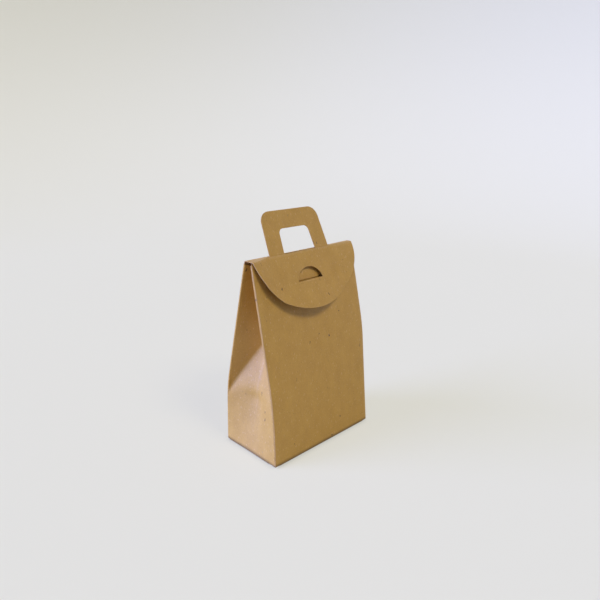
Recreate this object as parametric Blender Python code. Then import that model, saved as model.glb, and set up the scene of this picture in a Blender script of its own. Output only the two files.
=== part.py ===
# A small carry bag of kraft card, folded and glued from one die-cut sheet.
# X runs along the width, the front faces -Y and Z is up.
# The origin is the middle of the base, on the surface that the bag stands on.
#
# Each sheet below is drawn flat, as its blank is cut, and then folded:
# u or x runs across it and v runs up it. Above the lower crease v is the height.

import math

import bmesh
import bpy
from mathutils import Vector
from mathutils.geometry import delaunay_2d_cdt

MM = 0.001

# Card
CARD_THICKNESS = 0.45 * MM
FOLD_RADIUS = 0.6 * MM            # middle of the card round a crease
LAYER_GAP = 0.3 * MM              # air between cards that lie on each other
GLUE_GAP = 0.05 * MM              # between the glue tab and the front panel

# Body
BAG_WIDTH = 100 * MM
BASE_DEPTH = 53.4 * MM
RIDGE_HEIGHT = 142.4 * MM
LEFT_KNEE_HEIGHT = 60 * MM        # where the front panel's left edge starts its straight lean
LEFT_KNEE_DEPTH = 20.9 * MM       # depths are from the middle of the base to the panel
LEFT_BELLY = 2.0                  # power of the curve below the knee, 1 for a straight line
RIGHT_KNEE_HEIGHT = 80 * MM
RIGHT_KNEE_DEPTH = 17.6 * MM
RIGHT_BELLY = 1.0
FRONT_RIDGE_DEPTH = 2.2 * MM
REAR_KNEE_HEIGHT = 46 * MM
REAR_KNEE_DEPTH = 26.2 * MM
REAR_BELLY = 2.0
REAR_RIDGE_DEPTH = 5.6 * MM
KNEE_SOFTNESS = 10 * MM
PINCH_DEPTH = 5.4 * MM            # how far the handle is drawn back to the rear crease
PINCH_DROP = 34 * MM              # how far down the panels that reaches
PINCH_POWER = 1.5
FRONT_PINCH_RIGHT = 0.6 * MM      # left of it at the ridge's right end
REAR_PINCH_RIGHT = 3.2 * MM       # by which the rear crease comes forward there
RIDGE_RISE_RIGHT = 1.3 * MM       # by which the ridge climbs to its right end

# Gussets
FLAT_FOOT_HEIGHT = 40 * MM        # feet of the flat triangle at the gusset's edges
FLAT_APEX_HEIGHT = 90 * MM        # its apex, on the centre crease
FLAT_SHARE = 0.2                  # slope of the flat part against the folded part
GUSSET_FOLD_SOFTNESS = 2.5 * MM
CENTRE_SOFTNESS = 12 * MM         # round the centre line at the base
CENTRE_CREASE_SOFTNESS = 1.5 * MM
GUSSET_TOP_MARGIN = 1.2 * MM      # below the ridge, at the panels
GUSSET_NOTCH = 8 * MM             # further down, at the centre crease
GLUE_TAB_WIDTH = 10 * MM
GLUE_TAB_TAPER = 6 * MM
GLUE_TAB_MARGIN = 4 * MM

# Handle, on the front panel's upper edge
HANDLE_HEIGHT = 32 * MM
HANDLE_BASE_WIDTH = 60 * MM
HANDLE_TOP_WIDTH = 55.4 * MM
HANDLE_CORNER_RADIUS = 9 * MM
HANDLE_BAR_WIDTH = 13.4 * MM
HOLE_BASE_WIDTH = 31 * MM
HOLE_TOP_WIDTH = 28.6 * MM
HOLE_CORNER_RADIUS = 4.5 * MM
PANEL_TOP_MARGIN = 0.3 * MM       # front panel's cut edge, below the ridge
HANDLE_SLIT_SPARE = 1.5 * MM      # of the flap's slit, beside each leg

# Closing flap, on the rear panel's upper edge
FLAP_LENGTH = 45.9 * MM           # from the rear crease to its tip, along the card
FLAP_STRAIGHT = 8 * MM            # of its sides, before they curve in
FLAP_ROUNDNESS = 1.87             # 2 would be an ellipse
REAR_CREASE_LEAN = math.radians(13)
FLAP_HANG = math.radians(25.4)    # from upright, as it hangs
FLAP_SPRING = math.radians(8.8)   # by which it springs out further at its crease
FLAP_SPRING_LEFT_SHARE = 0.38
FLAP_SPRING_REACH = 8.5 * MM
FLAP_BULGE = math.radians(7.7)    # more of that over the lock
FLAP_BULGE_REACH = 16 * MM
FLAP_KICK = math.radians(8)       # outward again below the lock
FLAP_KICK_DROP = 20 * MM
FLAP_KICK_RUN = 10 * MM

# Lock: a half-moon tongue of the flap, folded in through a slot of the front panel
TONGUE_DROP = 21.5 * MM           # hinge line, below the front crease, along the card
TONGUE_WIDTH = 24.2 * MM
TONGUE_HEIGHT = 9.7 * MM
TONGUE_ANGLE = math.radians(75)   # from upright, as it passes the slot
SLOT_SPARE = 1.2 * MM             # beside the tongue

# Base: four flaps, the rear one locked by a tab that passes through the front one's recess
FLAP_RISE = 4 * MM                # over which a flap climbs to its layer
REAR_FLAP_DEPTH = 24 * MM
REAR_FLAP_INSET = 4.5 * MM
SIDE_FLAP_DEPTH = 30 * MM
SIDE_FLAP_FRONT_INSET = 6 * MM
SIDE_FLAP_REAR_INSET = 2 * MM
SIDE_FLAP_TAPER = 6 * MM
FRONT_FLAP_DEPTH = 36 * MM
FRONT_FLAP_INSET = 3.5 * MM
FLAP_SIDE_TAPER = 2 * MM
RECESS_WIDTH = 38 * MM
RECESS_DEPTH = 11 * MM
LOCK_TAB_WIDTH = 32 * MM
LOCK_TAB_LENGTH = 14 * MM
LOCK_TAB_TAPER = 3 * MM
RELIEF_LENGTH = 6 * MM            # cuts beside the tab's root
RELIEF_WIDTH = 1 * MM

# Mesh
ROW_STEP = 8 * MM
PANEL_STEP = 12 * MM
FLAP_STEP = 6 * MM
GUSSET_STEP = 4 * MM
TIGHT_STEP = 2 * MM               # over the tongue and the base's locking tab
EDGE_CLEARANCE = 0.45             # of a seed point's step, kept free at a cut edge
CREASE_CLEARANCE = 0.15 * MM      # where points follow a crease closely
ARC_STEP = math.radians(15)
FLAP_EDGE_STEPS = 36
CREASE_STEPS = 4
SECTION_STEPS = 400
HANG_STEP = 0.5 * MM
SLOPE_TRIALS = 24
ROUNDING = 0.001
WELD_DISTANCE = 0.001 * MM

HALF_WIDTH = BAG_WIDTH / 2
PANEL_HALF_WIDTH = HALF_WIDTH - FOLD_RADIUS
LAYER_PITCH = CARD_THICKNESS + LAYER_GAP
GLUE_OFFSET = CARD_THICKNESS + GLUE_GAP
REAR_CREASE_RUN = FOLD_RADIUS * (math.pi / 2 - REAR_CREASE_LEAN)
HINGE_HEIGHT = FOLD_RADIUS + CARD_THICKNESS / 2
HINGE_LENGTH = FOLD_RADIUS * math.pi / 2
GUSSET_TOP = RIDGE_HEIGHT - GUSSET_TOP_MARGIN
PANEL_TOP = RIDGE_HEIGHT - PANEL_TOP_MARGIN


def smooth_step(value):
    value = min(max(value, 0.0), 1.0)
    return value * value * (3 - 2 * value)


def soft_ramp(value, softness):
    """Zero below, then rising one for one, with a round bend between."""
    if value <= -softness:
        return 0.0
    if value >= softness:
        return value
    return (value + softness) ** 2 / (4 * softness)


def panel_depth(height, knee_height, knee_depth, ridge_depth, belly):
    """From the middle of the base to a panel: a slow curve, a bend, then a straight lean."""
    drop = BASE_DEPTH / 2 - knee_depth
    knee_slope = belly * drop / knee_height
    upper_slope = (knee_depth - ridge_depth) / (RIDGE_HEIGHT - knee_height)
    share = min(max(height, 0.0) / knee_height, 1.0)
    low = drop * share ** belly + knee_slope * max(height - knee_height, 0.0)
    lean = (upper_slope - knee_slope) * soft_ramp(height - knee_height, KNEE_SOFTNESS)
    return BASE_DEPTH / 2 - low - lean


def front_depth(x, height):
    """The front panel twists a little: its two edges lean differently."""
    left = panel_depth(height, LEFT_KNEE_HEIGHT, LEFT_KNEE_DEPTH, FRONT_RIDGE_DEPTH, LEFT_BELLY)
    right = panel_depth(height, RIGHT_KNEE_HEIGHT, RIGHT_KNEE_DEPTH, FRONT_RIDGE_DEPTH, RIGHT_BELLY)
    return left + (right - left) * (x + HALF_WIDTH) / BAG_WIDTH


def rear_depth(height):
    return panel_depth(height, REAR_KNEE_HEIGHT, REAR_KNEE_DEPTH, REAR_RIDGE_DEPTH, REAR_BELLY)


def beside_handle(x):
    """Zero across the handle, rising to one at the ridge's ends."""
    handle_half = HANDLE_BASE_WIDTH / 2
    return smooth_step((abs(x) - handle_half) / (HALF_WIDTH - handle_half))


def pinch_rise(height):
    return max((height - RIDGE_HEIGHT + PINCH_DROP) / PINCH_DROP, 0.0) ** PINCH_POWER


def front_y(x, height):
    end = FRONT_PINCH_RIGHT if x > 0 else 0.0
    pinch = PINCH_DEPTH + (end - PINCH_DEPTH) * beside_handle(x)
    return pinch * pinch_rise(height) - front_depth(x, height)


def rear_y(x, height):
    end = REAR_PINCH_RIGHT if x > 0 else 0.0
    return rear_depth(height) - end * beside_handle(x) * pinch_rise(height)


def front_slope(x, height):
    step = CARD_THICKNESS
    return (front_y(x, height) - front_y(x, height - step)) / step


def lifted(point):
    """The whole ridge climbs a little to its right end."""
    if point.x > 0:
        point.z += RIDGE_RISE_RIGHT * beside_handle(point.x) * pinch_rise(point.z)
    return point


HANDLE_LEAN = math.atan(front_slope(0.0, RIDGE_HEIGHT))
FLAP_STANDOFF = LAYER_PITCH / math.cos(HANDLE_LEAN)


# Folding

def base_flap_point(run, rise):
    """Inward distance and height of a base flap, a run past the lower crease."""
    if run < HINGE_LENGTH:
        turn = run / FOLD_RADIUS
        inward = FOLD_RADIUS * (1 - math.cos(turn))
        return inward, HINGE_HEIGHT - FOLD_RADIUS * math.sin(turn)
    return FOLD_RADIUS + run - HINGE_LENGTH, CARD_THICKNESS / 2 + rise


def layer_rise(run, layer):
    return layer * LAYER_PITCH * smooth_step((run - HINGE_LENGTH) / FLAP_RISE)


def fold_front(x, v):
    if v < HINGE_HEIGHT:
        run = HINGE_HEIGHT - v
        inward, z = base_flap_point(run, layer_rise(run, 2))
        return Vector((x, inward - front_depth(x, HINGE_HEIGHT), z))
    if v <= RIDGE_HEIGHT:
        return Vector((x, front_y(x, v), v))
    up = v - RIDGE_HEIGHT
    y = front_y(x, RIDGE_HEIGHT) + up * math.sin(HANDLE_LEAN)
    return Vector((x, y, RIDGE_HEIGHT + up * math.cos(HANDLE_LEAN)))


def flap_heading(x, drop):
    """Angle of the closing flap from upright, a distance along the card from its front crease."""
    left = 1 - FLAP_SPRING_LEFT_SHARE * x / HALF_WIDTH
    bulge = FLAP_BULGE * math.exp(-(x / FLAP_BULGE_REACH) ** 2)
    spring = (FLAP_SPRING * left + bulge) * math.exp(-drop / FLAP_SPRING_REACH)
    kick = FLAP_KICK * smooth_step((drop - FLAP_KICK_DROP) / FLAP_KICK_RUN + 1 / 2)
    return FLAP_HANG + spring + kick


def front_crease_run(x):
    return FOLD_RADIUS * (math.pi / 2 - flap_heading(x, 0.0))


def ridge_crease_centre(x):
    """Middle of the rear crease's bend, as (y, z)."""
    y = rear_y(x, RIDGE_HEIGHT) - FOLD_RADIUS * math.cos(REAR_CREASE_LEAN)
    return y, RIDGE_HEIGHT - FOLD_RADIUS * math.sin(REAR_CREASE_LEAN)


def ridge_top_run(x):
    """Length of the flat strip over the ridge, between its two creases."""
    front_crease = front_y(x, RIDGE_HEIGHT) - FLAP_STANDOFF
    bend = FOLD_RADIUS * math.cos(flap_heading(x, 0.0))
    return ridge_crease_centre(x)[0] - front_crease - bend


def crease_point(y, z, angle):
    return y + FOLD_RADIUS * math.cos(angle), z + FOLD_RADIUS * math.sin(angle)


def flap_face(x, drop):
    """The flap in front of the front panel, a distance along the card from its crease."""
    centre_y, centre_z = ridge_crease_centre(x)
    turn = math.pi - flap_heading(x, 0.0)
    y, z = crease_point(centre_y - ridge_top_run(x), centre_z, turn)
    steps = max(1, math.ceil(drop / HANG_STEP))
    for index in range(steps):
        heading = flap_heading(x, drop * (index + 1 / 2) / steps)
        y -= math.sin(heading) * drop / steps
        z -= math.cos(heading) * drop / steps
    return Vector((x, y, z))


def fold_flap(x, run):
    """The closing flap, a run along the card past the rear crease's start."""
    top_run = ridge_top_run(x)
    centre_y, centre_z = ridge_crease_centre(x)
    if run < REAR_CREASE_RUN:
        y, z = crease_point(centre_y, centre_z, REAR_CREASE_LEAN + run / FOLD_RADIUS)
        return Vector((x, y, z))
    if run < REAR_CREASE_RUN + top_run:
        return Vector((x, centre_y - run + REAR_CREASE_RUN, centre_z + FOLD_RADIUS))
    past = run - REAR_CREASE_RUN - top_run
    if past < front_crease_run(x):
        angle = math.pi / 2 + past / FOLD_RADIUS
        y, z = crease_point(centre_y - top_run, centre_z, angle)
        return Vector((x, y, z))
    return flap_face(x, past - front_crease_run(x))


def tab_zone(x):
    return abs(x) < LOCK_TAB_WIDTH / 2 + RELIEF_WIDTH / 2


def fold_rear(x, v):
    if v < HINGE_HEIGHT:
        run = HINGE_HEIGHT - v
        root = HINGE_LENGTH + REAR_FLAP_DEPTH - RELIEF_LENGTH
        climb = smooth_step((run - root) / (RECESS_DEPTH - RELIEF_WIDTH))
        rise = 3 * LAYER_PITCH * climb if tab_zone(x) else 0.0
        inward, z = base_flap_point(run, rise)
        return Vector((x, rear_depth(HINGE_HEIGHT) - inward, z))
    if v <= RIDGE_HEIGHT:
        return Vector((x, rear_y(x, v), v))
    return fold_flap(x, v - RIDGE_HEIGHT)


def tongue_pass(x):
    """Where the tongue starts, the front panel's slope there, and the run that takes it through."""
    hinge = flap_face(x, TONGUE_DROP)
    slope = front_slope(x, hinge.z)
    gain = math.sin(TONGUE_ANGLE) - slope * math.cos(TONGUE_ANGLE)
    standoff = front_y(x, hinge.z) - hinge.y
    return hinge, slope, standoff / gain, (standoff + FLAP_STANDOFF) / gain


def fold_tongue(x, past):
    """The tongue, a distance past its hinge: in through the slot, then up behind it."""
    hinge, slope, _, through = tongue_pass(x)
    run = min(past, through)
    y = hinge.y + run * math.sin(TONGUE_ANGLE)
    z = hinge.z + run * math.cos(TONGUE_ANGLE)
    if past > through:
        z_top = z + (past - through) * math.cos(math.atan(slope))
        y += front_y(x, z_top) - front_y(x, z)
        z = z_top
    return Vector((x, y, z))


class GussetSection:
    """Horizontal section of a gusset: half its card, from a panel to the middle."""

    def __init__(self, side, front_offset):
        self.x = side * PANEL_HALF_WIDTH
        self.front_offset = front_offset
        base_half = (BASE_DEPTH - front_offset) / 2
        self.length = base_half - FOLD_RADIUS + HINGE_LENGTH
        self.curves = {}

    def heading(self, run, height, slope):
        climb = (height - FLAT_FOOT_HEIGHT) / (FLAT_APEX_HEIGHT - FLAT_FOOT_HEIGHT)
        fold_at = self.length * min(max(climb, 0.0), 1.0)
        past = smooth_step((run - fold_at) / GUSSET_FOLD_SOFTNESS + 1 / 2)
        steep = 1 - (1 - FLAT_SHARE) * past
        share = min(height / FLAT_APEX_HEIGHT, 1.0)
        softness = CENTRE_SOFTNESS + (CENTRE_CREASE_SOFTNESS - CENTRE_SOFTNESS) * share
        centre = smooth_step((self.length - run) / softness)
        corner = run / FOLD_RADIUS - math.pi / 2
        return min(corner, slope * steep * centre, math.pi / 2)

    def trace(self, height, slope):
        step = self.length / SECTION_STEPS
        along = 0.0
        inward = 0.0
        points = [(0.0, 0.0)]
        for index in range(SECTION_STEPS):
            angle = self.heading((index + 1 / 2) * step, height, slope)
            along += math.cos(angle) * step
            inward += math.sin(angle) * step
            points.append((along, inward))
        return points

    def curve(self, height):
        """The section whose card keeps its length as the panels close on it."""
        key = round(height / WELD_DISTANCE)
        if key not in self.curves:
            depth = front_depth(self.x, height) + rear_depth(height)
            wanted = (depth - self.front_offset) / 2
            low = 0.0
            high = math.pi
            for _ in range(SLOPE_TRIALS):
                slope = (low + high) / 2
                if self.trace(height, slope)[-1][0] > wanted:
                    low = slope
                else:
                    high = slope
            points = self.trace(height, slope)
            self.curves[key] = [(a * wanted / points[-1][0], b) for a, b in points]
        return self.curves[key]

    def point(self, run, height):
        curve = self.curve(height)
        place = min(max(run / self.length, 0.0), 1.0) * SECTION_STEPS
        index = min(int(place), SECTION_STEPS - 1)
        share = place - index
        along = curve[index][0] * (1 - share) + curve[index + 1][0] * share
        inward = curve[index][1] * (1 - share) + curve[index + 1][1] * share
        return along, inward


def gusset_fold(side, section):
    """Folds one gusset's sheet: side is -1 on the left and 1 on the right."""

    def wall(u, height):
        rear = rear_depth(height)
        front = -front_depth(section.x, height)
        if u < 0:
            x = side * (PANEL_HALF_WIDTH + u)
            return Vector((x, front_y(x, height) + section.front_offset, height))
        if u <= section.length:
            along, inward = section.point(u, height)
            y = front + section.front_offset + along
        else:
            along, inward = section.point(2 * section.length - u, height)
            y = rear - along
        x = side * (PANEL_HALF_WIDTH - inward)
        share = (y - front) / (rear - front)
        pinched = front_y(x, height) * (1 - share) + rear_y(x, height) * share
        return Vector((x, pinched, height))

    def fold(u, v):
        top = wall(u, max(v, HINGE_HEIGHT))
        if v < HINGE_HEIGHT:
            run = HINGE_HEIGHT - v
            inward, z = base_flap_point(run, layer_rise(run, 1))
            top.x -= side * inward
            top.z = z
        return top

    return fold


# Flat outlines

def divide(start, end, step):
    """Points from start up to, and not including, end."""
    length = math.hypot(end[0] - start[0], end[1] - start[1])
    count = max(1, math.ceil(length / step - ROUNDING))
    points = []
    for index in range(count):
        share = index / count
        points.append((start[0] + (end[0] - start[0]) * share,
                       start[1] + (end[1] - start[1]) * share))
    return points


def corner_arc(before, corner, after, radius):
    """Points of the round that a radius makes of a corner."""
    if radius == 0:
        return [corner]
    spot = Vector(corner)
    back = (Vector(before) - spot).normalized()
    on = (Vector(after) - spot).normalized()
    half = back.angle(on) / 2
    centre = spot + (back + on).normalized() * radius / math.sin(half)
    start = spot + back * radius / math.tan(half) - centre
    end = spot + on * radius / math.tan(half) - centre
    sweep = -start.angle_signed(end)
    pieces = max(2, math.ceil(abs(sweep) / ARC_STEP))
    first = math.atan2(start.y, start.x)
    angles = [first + sweep * piece / pieces for piece in range(pieces + 1)]
    return [(centre.x + radius * math.cos(a), centre.y + radius * math.sin(a)) for a in angles]


def path(corners, step):
    """Points through (x, v, radius) corners, from the first up to, and not including, the last."""
    arcs = [[corners[0][:2]]]
    for before, (x, v, radius), after in zip(corners, corners[1:], corners[2:]):
        arcs.append(corner_arc(before[:2], (x, v), after[:2], radius))
    arcs.append([corners[-1][:2]])
    points = []
    for arc, following in zip(arcs, arcs[1:]):
        points += arc[:-1] + divide(arc[-1], following[0], step)
    return points


def closed(corners, step):
    """A closed outline through (x, v, radius) corners."""
    middle = ((corners[0][0] + corners[-1][0]) / 2, (corners[0][1] + corners[-1][1]) / 2, 0)
    return path([middle] + corners + [middle], step)


def mirrored(corners):
    return [(-x, v, radius) for x, v, radius in reversed(corners)]


def inside(point, outline):
    x, v = point
    odd = False
    for (x0, v0), (x1, v1) in zip(outline, outline[1:] + outline[:1]):
        if (v0 > v) != (v1 > v) and x < x0 + (v - v0) * (x1 - x0) / (v1 - v0):
            odd = not odd
    return odd


def distance_to(point, chain):
    spot = Vector(point)
    nearest = math.inf
    for start, end in zip(chain, chain[1:]):
        start = Vector(start)
        run = Vector(end) - start
        share = min(max((spot - start).dot(run) / run.length_squared, 0.0), 1.0)
        nearest = min(nearest, (start + run * share - spot).length)
    return nearest


def rows(low, high, step):
    count = max(1, math.ceil((high - low) / step - ROUNDING))
    return [low + (high - low) * index / count for index in range(count + 1)]


def add_sheet(mesh, outline, holes, seeds, fold, creases=()):
    """Fills a flat outline with triangles and folds it into the bag's mesh."""
    loops = [outline] + holes
    chains = [loop + loop[:1] for loop in loops]
    flat = []
    edges = []
    for loop in loops:
        first = len(flat)
        flat += loop
        edges += [(first + k, first + (k + 1) % len(loop)) for k in range(len(loop))]
    for crease in creases:
        first = len(flat)
        flat += crease
        edges += [(first + k, first + k + 1) for k in range(len(crease) - 1)]
    for x, v, clearance in seeds:
        if inside((x, v), outline) and not any(inside((x, v), hole) for hole in holes):
            free = min(distance_to((x, v), chain) for chain in chains) > clearance
            if free and all(distance_to((x, v), crease) > FOLD_RADIUS for crease in creases):
                flat.append((x, v))
    result = delaunay_2d_cdt([Vector(point) for point in flat], edges, [], 0, WELD_DISTANCE / 10)
    points, _, faces = result[:3]
    folded = [mesh.verts.new(lifted(fold(point.x, point.y))) for point in points]
    for face in faces:
        middle = sum((points[k] for k in face), Vector((0.0, 0.0))) / len(face)
        if inside(middle, outline) and not any(inside(middle, hole) for hole in holes):
            mesh.faces.new([folded[k] for k in face])


def grid_seeds(columns, heights, clearance):
    return [(x, v, clearance) for x in columns for v in heights]


WALL_ROWS = rows(HINGE_HEIGHT, GUSSET_TOP, ROW_STEP)


def hinge_seeds(columns, depth):
    """Rows round the lower crease, where a flap climbs, and across the flap."""
    heights = [HINGE_HEIGHT - HINGE_LENGTH * k / CREASE_STEPS for k in range(1, CREASE_STEPS + 1)]
    level = HINGE_HEIGHT - HINGE_LENGTH
    heights += [level - FLAP_RISE * k / CREASE_STEPS for k in range(1, CREASE_STEPS + 1)]
    heights += rows(level - depth, level - FLAP_RISE, PANEL_STEP)
    return grid_seeds(columns, heights, CREASE_CLEARANCE)


def half_moon(clearance):
    """The tongue's curved edge, left to right over the hinge line, as (x, past) points."""
    half = TONGUE_WIDTH / 2
    count = math.ceil(math.pi / ARC_STEP)
    points = []
    for index in range(1, count):
        angle = math.pi * (1 - index / count)
        reach = half - clearance
        height = TONGUE_HEIGHT - clearance
        points.append((reach * math.cos(angle), height * math.sin(angle)))
    return points


def chord_points():
    half = TONGUE_WIDTH / 2
    return divide((half, 0.0), (-half, 0.0), TIGHT_STEP) + [(-half, 0.0)]


def front_sheet(mesh):
    """Front panel, handle and the base's front flap."""
    left = -HALF_WIDTH - CARD_THICKNESS / 2
    right = PANEL_HALF_WIDTH
    flap_end = HINGE_HEIGHT - HINGE_LENGTH - FRONT_FLAP_DEPTH
    flap_half = HALF_WIDTH - FRONT_FLAP_INSET
    tip_half = flap_half - FLAP_SIDE_TAPER
    recess_half = RECESS_WIDTH / 2
    recess_top = flap_end + RECESS_DEPTH
    base_half = HANDLE_BASE_WIDTH / 2
    top_half = HANDLE_TOP_WIDTH / 2
    handle_top = RIDGE_HEIGHT + HANDLE_HEIGHT
    corner = FOLD_RADIUS

    flap_side = [
        (right, HINGE_HEIGHT, 0), (flap_half, HINGE_HEIGHT, 0), (tip_half, flap_end, RELIEF_LENGTH),
        (recess_half, flap_end, corner), (recess_half, recess_top, corner)]
    handle_side = [
        (-base_half, PANEL_TOP, 0), (-top_half, handle_top, HANDLE_CORNER_RADIUS)]
    outline = path(flap_side + mirrored(flap_side[1:]) + [(left, HINGE_HEIGHT, 0)], PANEL_STEP)
    outline += [(left, v) for v in WALL_ROWS]
    outline += path([(left, PANEL_TOP, 0)] + handle_side + mirrored(handle_side)
                    + [(right, PANEL_TOP, 0)], FLAP_STEP)
    outline += [(right, PANEL_TOP)] + [(right, v) for v in reversed(WALL_ROWS[1:])]

    hole_top = handle_top - HANDLE_BAR_WIDTH
    hole_side = [
        (-HOLE_BASE_WIDTH / 2, PANEL_TOP, corner), (-HOLE_TOP_WIDTH / 2, hole_top, HOLE_CORNER_RADIUS)]
    hole = closed(hole_side + mirrored(hole_side), FLAP_STEP)
    hinge, slope, run, _ = tongue_pass(0.0)
    cross = TONGUE_ANGLE - math.atan(slope)
    slot_middle = hinge.z + run * math.cos(TONGUE_ANGLE)
    slot_reach = (LAYER_GAP + CARD_THICKNESS / 2 * (1 + math.cos(cross))) / math.sin(cross)
    slot_half = TONGUE_WIDTH / 2 + SLOT_SPARE
    slot_side = [
        (-slot_half, slot_middle - slot_reach, corner), (-slot_half, slot_middle + slot_reach, corner)]
    slot = closed(slot_side + mirrored(slot_side), FLAP_STEP)

    columns = rows(-PANEL_HALF_WIDTH, PANEL_HALF_WIDTH, PANEL_STEP)
    near = rows(-PANEL_HALF_WIDTH, PANEL_HALF_WIDTH, FLAP_STEP)
    seeds = grid_seeds(columns, WALL_ROWS[1:], ROW_STEP * EDGE_CLEARANCE)
    pinch_rows = rows(RIDGE_HEIGHT - PINCH_DROP, PANEL_TOP, FLAP_STEP)
    seeds += grid_seeds(near, pinch_rows, FLAP_STEP * EDGE_CLEARANCE)
    seeds += grid_seeds(near, [RIDGE_HEIGHT], PANEL_TOP_MARGIN)
    seeds += grid_seeds(columns, [HINGE_HEIGHT], 0.0)
    seeds += hinge_seeds(columns, FRONT_FLAP_DEPTH)
    add_sheet(mesh, outline, [hole, slot], seeds, fold_front)


def flap_edge(x):
    """Where the closing flap's curved edge lies, along the card from the rear crease."""
    share = 1 - abs(x / PANEL_HALF_WIDTH) ** FLAP_ROUNDNESS
    return FLAP_STRAIGHT + (FLAP_LENGTH - FLAP_STRAIGHT) * share ** (1 / FLAP_ROUNDNESS)


def crease_rows(x):
    """Where the flap's two creases bend, along the card from the rear crease's start."""
    front = REAR_CREASE_RUN + ridge_top_run(x)
    steps = [REAR_CREASE_RUN * k / CREASE_STEPS for k in range(CREASE_STEPS + 1)]
    return steps + [front + front_crease_run(x) * k / CREASE_STEPS for k in range(CREASE_STEPS + 1)]


def flap_side_rows(x, end):
    """Heights of the points up one side of the flap, past its creases."""
    past = crease_rows(x)
    past += rows(past[-1], max(end, past[-1]), FLAP_STEP)[1:]
    return [RIDGE_HEIGHT + v for v in past if v < end - FOLD_RADIUS / 2]


def rear_sheet(mesh):
    """Rear panel, closing flap and the base's rear flap with its locking tab."""
    side = PANEL_HALF_WIDTH
    level = HINGE_HEIGHT - HINGE_LENGTH
    flap_end = level - REAR_FLAP_DEPTH
    tab_end = flap_end - LOCK_TAB_LENGTH
    flap_half = HALF_WIDTH - REAR_FLAP_INSET
    tip_half = flap_half - FLAP_SIDE_TAPER
    tab_half = LOCK_TAB_WIDTH / 2
    relief = tab_half + RELIEF_WIDTH
    relief_top = flap_end + RELIEF_LENGTH
    corner = RELIEF_WIDTH / 4
    tab_tip = tab_half - LOCK_TAB_TAPER

    flap_side = [
        (side, HINGE_HEIGHT, 0), (flap_half, HINGE_HEIGHT, 0), (tip_half, flap_end, RELIEF_LENGTH),
        (relief, flap_end, corner), (relief, relief_top, corner),
        (tab_half, relief_top, corner), (tab_half, flap_end, FOLD_RADIUS),
        (tab_tip, tab_end, LOCK_TAB_TAPER)]
    outline = path(flap_side + mirrored(flap_side), PANEL_STEP)
    outline += [(-side, v) for v in WALL_ROWS]

    edge = []
    for index in range(FLAP_EDGE_STEPS + 1):
        x = -side * math.cos(math.pi * index / FLAP_EDGE_STEPS)
        edge.append((x, RIDGE_HEIGHT + flap_edge(x)))
    start_at = edge[0][1] - RIDGE_HEIGHT
    outline += [(-side, v) for v in flap_side_rows(-side, start_at)]
    outline += edge
    outline += [(side, v) for v in reversed(flap_side_rows(side, start_at))]
    outline += [(side, v) for v in reversed(WALL_ROWS[1:])]

    centre_y, centre_z = ridge_crease_centre(0.0)
    slit_z = centre_z + FOLD_RADIUS - RIDGE_HEIGHT
    slit_y = front_y(0.0, RIDGE_HEIGHT) + slit_z * math.tan(HANDLE_LEAN)
    slit_at = RIDGE_HEIGHT + REAR_CREASE_RUN + centre_y - slit_y
    slit_reach = (LAYER_GAP + CARD_THICKNESS / 2) / math.cos(HANDLE_LEAN)
    slit_reach += CARD_THICKNESS / 2 * math.tan(HANDLE_LEAN)
    slit_half = HANDLE_BASE_WIDTH / 2 + HANDLE_SLIT_SPARE
    slit_side = [(-slit_half, slit_at - slit_reach, 0), (-slit_half, slit_at + slit_reach, 0)]
    slit = closed(slit_side + mirrored(slit_side), FLAP_STEP)

    hinge_at = RIDGE_HEIGHT + crease_rows(0.0)[-1] + TONGUE_DROP
    moon = [(x, hinge_at - past) for x, past in half_moon(0)]
    moon += [(x, hinge_at) for x, _ in chord_points()]

    columns = rows(-side, side, PANEL_STEP)
    near = rows(-side, side, FLAP_STEP)
    seeds = grid_seeds(columns, WALL_ROWS[1:] + [RIDGE_HEIGHT], ROW_STEP * EDGE_CLEARANCE)
    seeds += grid_seeds(columns, [HINGE_HEIGHT], 0.0)
    seeds += hinge_seeds(columns, REAR_FLAP_DEPTH)
    tab_rows = rows(tab_end, relief_top, TIGHT_STEP)
    seeds += grid_seeds(rows(-tab_tip, tab_tip, FLAP_STEP), tab_rows, FOLD_RADIUS)
    for x in near:
        creases = crease_rows(x)
        hang = rows(creases[-1], creases[-1] + FLAP_LENGTH, FLAP_STEP)
        seeds += grid_seeds([x], [RIDGE_HEIGHT + v for v in creases], CREASE_CLEARANCE)
        seeds += grid_seeds([x], [RIDGE_HEIGHT + v for v in hang[1:]], TIGHT_STEP)
    add_sheet(mesh, outline, [slit, moon], seeds, fold_rear)


def tongue_sheet(mesh):
    """The half-moon, joined to the flap along its straight side."""
    outline = chord_points() + half_moon(GLUE_GAP)
    across = [x for x, _ in chord_points()]
    seeds = grid_seeds(across, rows(0.0, TONGUE_HEIGHT, FOLD_RADIUS)[1:], FOLD_RADIUS / 2)
    add_sheet(mesh, outline, [], seeds, fold_tongue)


def flat_triangle_creases(length, first):
    """The two edges of each bend beside the gusset's flat triangle, from a run off the corner."""
    half = GUSSET_FOLD_SOFTNESS / 2
    rise = (FLAT_APEX_HEIGHT - FLAT_FOOT_HEIGHT) / length
    creases = []
    for shift, last in ((half, length - half), (-half, length - ROUNDING * MM)):
        low = (first, FLAT_FOOT_HEIGHT + (first + shift) * rise)
        high = (last, FLAT_FOOT_HEIGHT + (last + shift) * rise)
        points = divide(low, high, GUSSET_STEP) + [high]
        creases.append(points)
        creases.append([(2 * length - u, v) for u, v in points])
    return creases


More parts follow.
